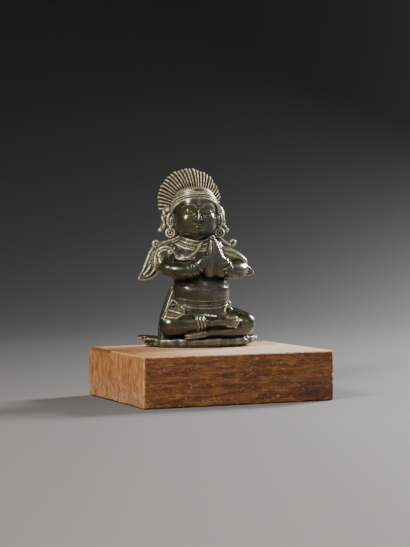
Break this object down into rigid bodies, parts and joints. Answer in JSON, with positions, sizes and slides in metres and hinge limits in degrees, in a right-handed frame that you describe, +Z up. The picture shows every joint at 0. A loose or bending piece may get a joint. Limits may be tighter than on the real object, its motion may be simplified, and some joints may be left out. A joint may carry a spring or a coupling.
{
  "type": "seated bronze deity figure on a wooden plinth",
  "caption": "Small cast bronze winged deity figure, seated cross-legged with joined palms and a fan of hair, on an old wooden block plinth.",
  "frame": {"origin": "middle of the wooden plinth's underside", "axes": "+Z up, -Y towards the plinth's front, which the figure faces but for a turn of 7 degrees towards -X; +X is the figure's left"},
  "size_m": [0.12, 0.0878, 0.1381],
  "materials": {
    "bronze": "old cast bronze, dark olive-brown, polished by handling on the high places, with pale earthy deposit and green-black patina in the recesses",
    "wood": "worn, unvarnished orange-brown wood with fine grain, dark stains, rounded edges and a splintered corner"
  },
  "bodies": {
    "root": {"bronze_figure": "bronze", "wooden_plinth": "wood"}
  },
  "joints": []
}
